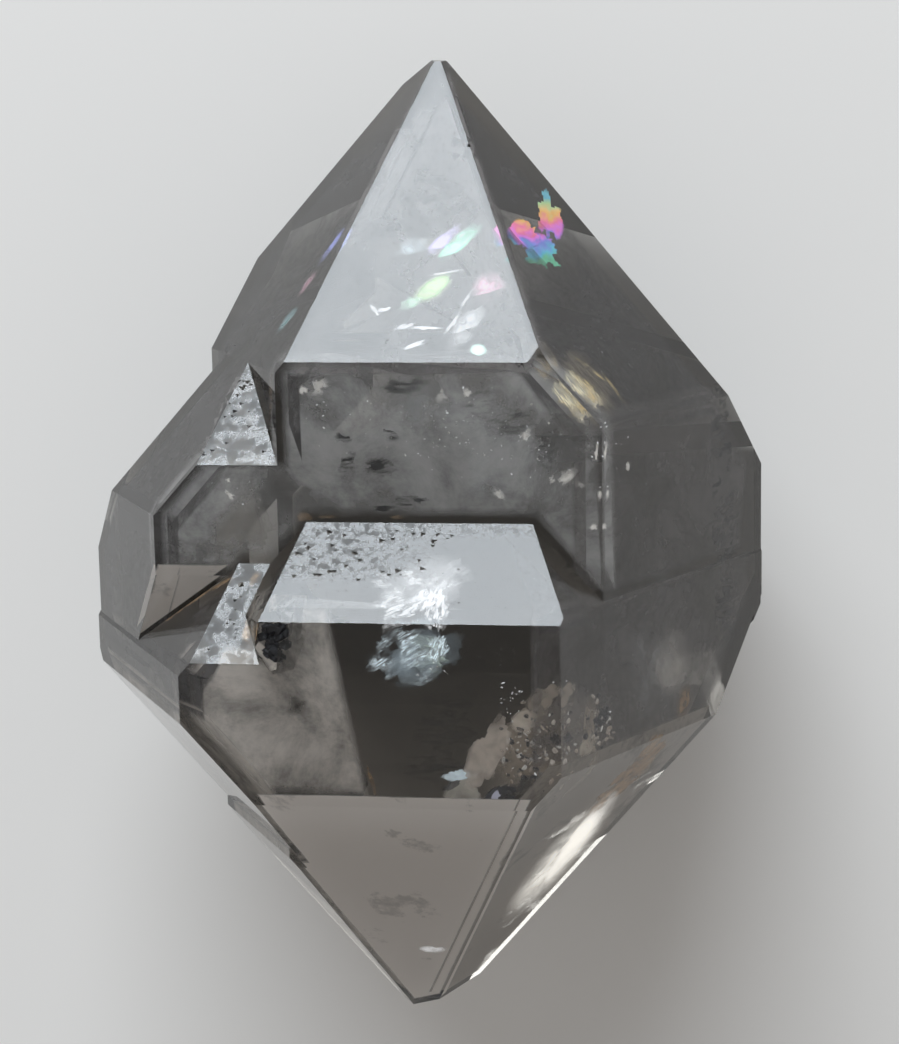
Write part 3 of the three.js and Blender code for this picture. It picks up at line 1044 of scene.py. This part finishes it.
class HERKIMER_OT_fractures(bpy.types.Operator):
    """Adds the feather fracture, whose flashes are painted glow, and the golden one"""

    bl_idname = "herkimer.fractures"
    bl_label = "Fractures"

    def execute(self, context):
        feather = sheets(FEATHER, 80, steps=32, ragged=0.5, wave=0.3, depth=0.12)
        join(feather, "feather_fracture", feather_material())
        fibres = sheets(FIBRES, 100, steps=28, ragged=0.4, wave=0.3, depth=0.1)
        join(fibres, "golden_fracture", fibre_material())
        return {"FINISHED"}


class HERKIMER_OT_crust(bpy.types.Operator):
    """Adds the inner crust, with its painted shade and highlights, and the soft gleam, a painted reflection,
    beside the lower right edge
    """

    bl_idname = "herkimer.crust"
    bl_label = "Crust and gleam"

    def execute(self, context):
        crust = sheets(CRUST_AND_PAINTED_LIGHT, 200, steps=28, ragged=0.35, wave=0.6, depth=0.1)
        join(crust, "inner_crust_and_painted_light", crust_material())
        gleam = sheets(GLEAM, 240, steps=32, ragged=0.1, wave=2, depth=0.1)
        join(gleam, "edge_gleam", gleam_material())
        return {"FINISHED"}


class HERKIMER_OT_splinters(bpy.types.Operator):
    """Scatters bright splinters, partly painted glints, and dark ones, and fills the pit"""

    bl_idname = "herkimer.splinters"
    bl_label = "Splinters and pit filling"

    def execute(self, context):
        join(chips(chip_rows()), "splinters", chip_material(), smooth=False)
        join(chips(filling_rows()), "pit_filling", filling_material(), smooth=False)
        return {"FINISHED"}


class HERKIMER_OT_stains(bpy.types.Operator):
    """Adds dark specks and rust stains"""

    bl_idname = "herkimer.stains"
    bl_label = "Specks and stains"

    def execute(self, context):
        specks = sheets(SPECKS, 120, steps=24, ragged=0.5, wave=0.4, depth=0.15)
        join(specks, "dark_specks", speck_material())
        stains = sheets(RUST, 150, steps=24, ragged=0.4, wave=0.3, depth=0.03)
        join(stains, "iron_stains", rust_material())
        return {"FINISHED"}


# Camera: where it stands and its sideways, upward and backward directions.
CAMERA_PLACE = (9.188, 13.433, 68.437)
CAMERA_RIGHT = (0.99107, -0.01836, -0.13208)
CAMERA_UP = (-0.00860, 0.97962, -0.20067)
CAMERA_BACK = (0.13307, 0.20001, 0.97071)
CAMERA_FIELD = math.radians(18.35)
# The nearest and farthest thing that it sees, in metres.
CAMERA_CLIP = (0.001, 10)

# The tip light: the direction it stands in, and its distance, width and height in millimetres.
TIP_LIGHT_SIDE = (-0.133, 0.886, 0.444)
TIP_LIGHT_DISTANCE = 260
TIP_LIGHT_SIZE = (190, 170)
# Colours of the tip light and of the light from all round.
COOL_WHITE = (0.87, 0.94, 1.0)
WARM_WHITE = (1.0, 0.985, 0.965, 1)
# The floor lies this far under the stone, in millimetres, and is this wide, in metres.
FLOOR_GAP = 0.03
FLOOR_WIDTH = 2
# How often light bounces: in and out of the quartz, and between dull surfaces.
GLASS_BOUNCES = 9
DULL_BOUNCES = 2


def add_camera():
    """Sets the camera that looks down on the stone."""
    bpy.ops.object.camera_add(location=Vector(CAMERA_PLACE) * MM)
    camera = bpy.context.object
    camera.name = "camera"
    axes = Matrix((CAMERA_RIGHT, CAMERA_UP, CAMERA_BACK)).transposed()
    camera.rotation_euler = axes.to_euler()
    camera.data.sensor_fit = "HORIZONTAL"
    camera.data.angle = CAMERA_FIELD
    camera.data.clip_start, camera.data.clip_end = CAMERA_CLIP
    bpy.context.scene.camera = camera


def add_panel_light(name, direction, distance, size, brightness, colour):
    """A soft panel of light that faces the stone from a direction."""
    away = Vector(direction).normalized()
    width, height = size
    bpy.ops.object.light_add(type="AREA", location=away * distance * MM)
    light = bpy.context.object
    light.name = name
    light.rotation_euler = away.to_track_quat("Z", "Y").to_euler()
    light.data.shape = "RECTANGLE"
    light.data.size = width * MM
    light.data.size_y = height * MM
    # The power that gives a panel of this area that brightness.
    light.data.energy = brightness * math.pi * width * height * MM * MM
    light.data.color = colour
    return light


def floor_material():
    values = stage_look()
    finish = Finish("floor")
    shader = finish.add(
        "ShaderNodeBsdfPrincipled", None, {"Base Color": (*values.floor_colour, 1), "Roughness": 0.9}
    )
    return finish.close(shader)


class HERKIMER_OT_stage(bpy.types.Operator):
    """Lays the floor and sets the lights and the camera"""

    bl_idname = "herkimer.stage"
    bl_label = "Stage"

    def execute(self, context):
        values = stage_look()
        deselect()
        bpy.ops.mesh.primitive_plane_add(size=FLOOR_WIDTH, location=(0, 0, -FLOOR_GAP * MM))
        floor = context.object
        floor.name = "floor"
        floor.data.materials.append(floor_material())
        placing = (TIP_LIGHT_SIDE, TIP_LIGHT_DISTANCE, TIP_LIGHT_SIZE)
        add_panel_light("tip_light", *placing, values.tip_light, COOL_WHITE)
        world = bpy.data.worlds.new("studio")
        world.use_nodes = True
        background = world.node_tree.nodes["Background"]
        background.inputs["Color"].default_value = WARM_WHITE
        background.inputs["Strength"].default_value = values.sky
        context.scene.world = world
        cycles = context.scene.cycles
        cycles.max_bounces = GLASS_BOUNCES
        cycles.transmission_bounces = GLASS_BOUNCES
        cycles.diffuse_bounces = DULL_BOUNCES
        context.scene.view_settings.view_transform = "Standard"
        add_camera()
        return {"FINISHED"}


class HERKIMER_PT_panel(bpy.types.Panel):
    """Lists the steps that finish the stone"""

    bl_idname = "HERKIMER_PT_panel"
    bl_label = "Herkimer diamond"
    bl_space_type = "VIEW_3D"
    bl_region_type = "UI"
    bl_category = "Herkimer"

    def draw(self, context):
        for name in GROUPS:
            group = getattr(context.scene, name)
            box = self.layout.box()
            for key in group.__annotations__:
                box.prop(group, key)
        for step in STEPS:
            self.layout.operator(step.bl_idname)


STEPS = (
    HERKIMER_OT_quartz,
    HERKIMER_OT_veils,
    HERKIMER_OT_films,
    HERKIMER_OT_fractures,
    HERKIMER_OT_crust,
    HERKIMER_OT_splinters,
    HERKIMER_OT_stains,
    HERKIMER_OT_stage,
)
GROUPS = {"herkimer_quartz": QuartzLook, "herkimer_inside": InsideLook, "herkimer_stage": StageLook}


def register():
    for item in (*GROUPS.values(), *STEPS, HERKIMER_PT_panel):
        bpy.utils.register_class(item)
    for name, group in GROUPS.items():
        setattr(bpy.types.Scene, name, bpy.props.PointerProperty(type=group))


def unregister():
    for name in GROUPS:
        delattr(bpy.types.Scene, name)
    for item in (HERKIMER_PT_panel, *reversed(STEPS), *GROUPS.values()):
        bpy.utils.unregister_class(item)


def main():
    register()
    for step in STEPS:
        family, action = step.bl_idname.split(".")
        getattr(getattr(bpy.ops, family), action)()


if __name__ == "__main__":
    main()
